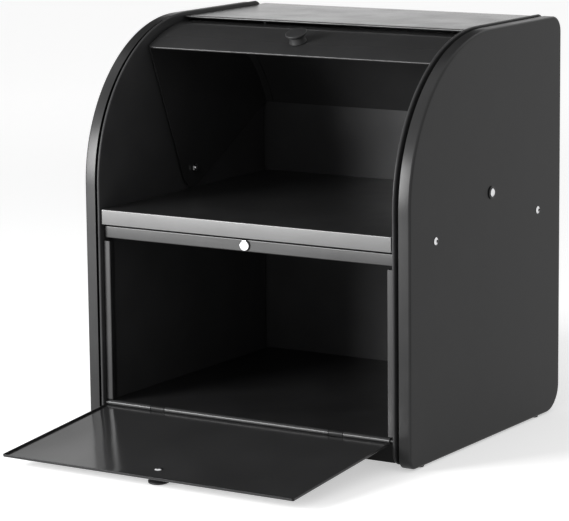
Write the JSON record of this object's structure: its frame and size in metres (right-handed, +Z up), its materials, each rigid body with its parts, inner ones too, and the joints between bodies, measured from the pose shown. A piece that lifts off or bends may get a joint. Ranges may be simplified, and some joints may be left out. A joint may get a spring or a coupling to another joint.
{
  "type": "bread bin",
  "caption": "Black sheet-metal bread bin with a shelf, a roll-top upper door on pivots and a fall-front lower door held shut by a magnet.",
  "frame": {"origin": "on the table, under the middle of the bin's bounding box with the lower door down", "axes": "+X to the bin's right as seen from the front, -Y towards the front, +Z up"},
  "size_m": [0.3274, 0.4154, 0.353],
  "materials": {
    "black_coat": "satin",
    "black_gloss": "gloss",
    "bright_steel": "polished",
    "magnet_nickel": "polished",
    "black_plastic": "satin",
    "black_rubber": "matte"
  },
  "bodies": {
    "bin": {"left_side_cap": "black_coat", "right_side_cap": "black_coat", "left_inner_side": "black_coat", "right_inner_side": "black_coat", "top_panel": "black_coat", "back_panel": "black_coat", "floor_panel": "black_coat", "shelf": "black_coat", "door_stop_rail": "black_coat", "magnet_cup": "black_plastic", "magnet": "magnet_nickel", "left_jamb": "black_coat", "right_jamb": "black_coat", "hinge_rod": "black_coat", "left_pivot_screw": "bright_steel", "left_pivot_washer": "black_plastic", "left_pivot_sleeve": "bright_steel", "left_pivot_bush": "black_plastic", "left_pivot_nut": "bright_steel", "left_front_shelf_screw": "bright_steel", "left_front_shelf_sleeve": "bright_steel", "left_front_shelf_nut": "bright_steel", "left_front_foot_pad": "black_rubber", "left_rear_shelf_screw": "bright_steel", "left_rear_shelf_sleeve": "bright_steel", "left_rear_shelf_nut": "bright_steel", "left_rear_foot_pad": "black_rubber", "right_pivot_screw": "bright_steel", "right_pivot_washer": "black_plastic", "right_pivot_sleeve": "bright_steel", "right_pivot_bush": "black_plastic", "right_pivot_nut": "bright_steel", "right_front_shelf_screw": "bright_steel", "right_front_shelf_sleeve": "bright_steel", "right_front_shelf_nut": "bright_steel", "right_front_foot_pad": "black_rubber", "right_rear_shelf_screw": "bright_steel", "right_rear_shelf_sleeve": "bright_steel", "right_rear_shelf_nut": "bright_steel", "right_rear_foot_pad": "black_rubber"},
    "lower_door_body": {"lower_door": "black_gloss", "lower_door_knob": "black_plastic", "lower_door_knob_screw": "bright_steel"},
    "upper_door_body": {"upper_door": "black_gloss", "upper_door_left_arm": "black_gloss", "upper_door_right_arm": "black_gloss", "upper_door_knob": "black_plastic", "upper_door_knob_screw": "bright_steel"}
  },
  "joints": [
    {"name": "lower_door_hinge", "type": "hinge", "parent": "bin", "child": "lower_door_body", "pos_m": [0, -0.0558, 0.0245], "axis": [-1, 0, 0], "range_deg": [0, 95.07]},
    {"name": "upper_door_pivot", "type": "hinge", "parent": "bin", "child": "upper_door_body", "pos_m": [0, 0.0802, 0.213], "axis": [1, 0, 0], "range_deg": [0, 67.8]}
  ]
}
